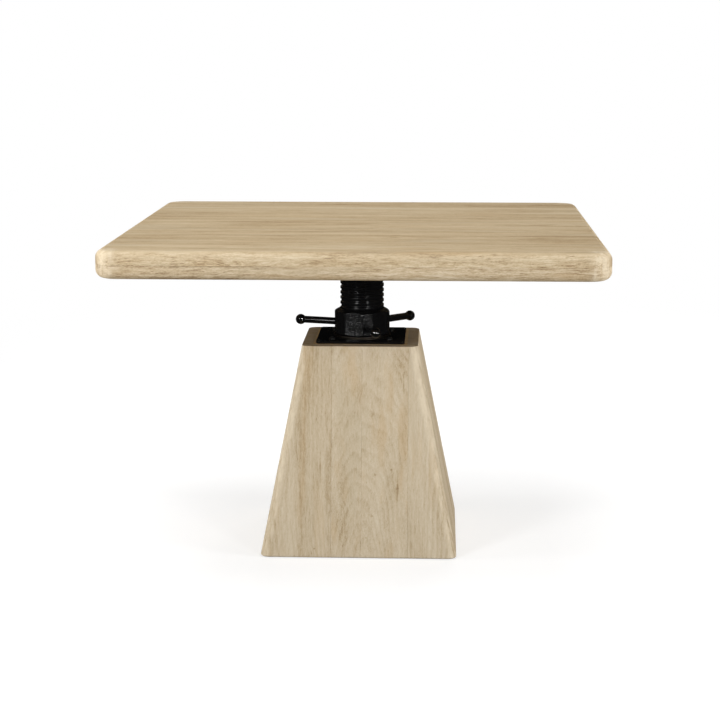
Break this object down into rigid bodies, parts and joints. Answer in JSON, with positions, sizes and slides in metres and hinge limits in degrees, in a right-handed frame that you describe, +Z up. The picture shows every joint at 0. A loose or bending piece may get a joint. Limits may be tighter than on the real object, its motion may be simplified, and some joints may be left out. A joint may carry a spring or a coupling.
{
  "type": "telescoping pedestal table",
  "caption": "Square wooden table on a hollow pyramid base. Ball-ended handles turn a captive nut that raises and lowers a threaded column under the top.",
  "frame": {"origin": "on the floor, under the axis of the column, with the table at the height that the picture shows", "axes": "+Z up along the column, +X along the boards of the top, -Y to the front"},
  "size_m": [1.067, 1.067, 0.741],
  "materials": {
    "top_wood": "matte",
    "edge_wood": "matte",
    "base_wood": "matte",
    "inner_wood": "matte",
    "black_iron": "gloss",
    "black_fasteners": "satin",
    "mill_steel": "satin",
    "bronze": "satin",
    "nylon": "satin"
  },
  "bodies": {
    "base": {"panel_front": "base_wood", "panel_right": "base_wood", "panel_back": "base_wood", "panel_left": "base_wood", "rail_front": "inner_wood", "rail_right": "inner_wood", "rail_back": "inner_wood", "rail_left": "inner_wood", "corner_post_front_left": "inner_wood", "corner_post_front_right": "inner_wood", "corner_post_back_right": "inner_wood", "corner_post_back_left": "inner_wood", "cap_board": "inner_wood", "brace_board": "inner_wood", "glides": "nylon", "flange_plate": "black_iron", "flange_bolts": "black_fasteners", "thrust_washer": "bronze", "guide_tube": "mill_steel", "guide_bush": "bronze", "guide_key": "mill_steel", "guide_screws": "black_fasteners"},
    "nut": {"lifting_nut": "black_iron", "retaining_ring": "mill_steel", "handle_rod_1": "black_iron", "handle_rod_2": "black_iron", "handle_rod_3": "black_iron", "ball_knob_1": "black_iron", "ball_knob_2": "black_iron", "ball_knob_3": "black_iron"},
    "column": {"threaded_column": "black_iron", "stop_ring": "mill_steel", "stop_ring_screws": "black_fasteners", "top_collar": "black_iron", "top_plate": "black_iron", "plate_ribs": "black_iron", "column_screws": "black_fasteners", "plate_screws": "black_fasteners", "batten_left": "inner_wood", "batten_right": "inner_wood", "batten_screws": "black_fasteners", "edge_strip_front": "edge_wood", "edge_strip_right": "edge_wood", "edge_strip_back": "edge_wood", "edge_strip_left": "edge_wood", "top_board_1": "top_wood", "top_board_2": "top_wood", "top_board_3": "top_wood", "top_board_4": "top_wood", "top_board_5": "top_wood", "top_board_6": "top_wood", "top_board_7": "top_wood"}
  },
  "joints": [
    {"name": "nut_spin", "type": "hinge", "parent": "base", "child": "nut", "pos_m": [0, 0, 0.5088], "axis": [0, 0, 1], "range_deg": [-5160, 3600]},
    {"name": "column_lift", "type": "slide", "parent": "base", "child": "column", "axis": [0, 0, 1], "range_m": [-0.12, 0.172]}
  ],
  "couplings": [
    {"joint": "column_lift", "follows": "nut_spin", "m_per_rad": -0.0019099}
  ]
}
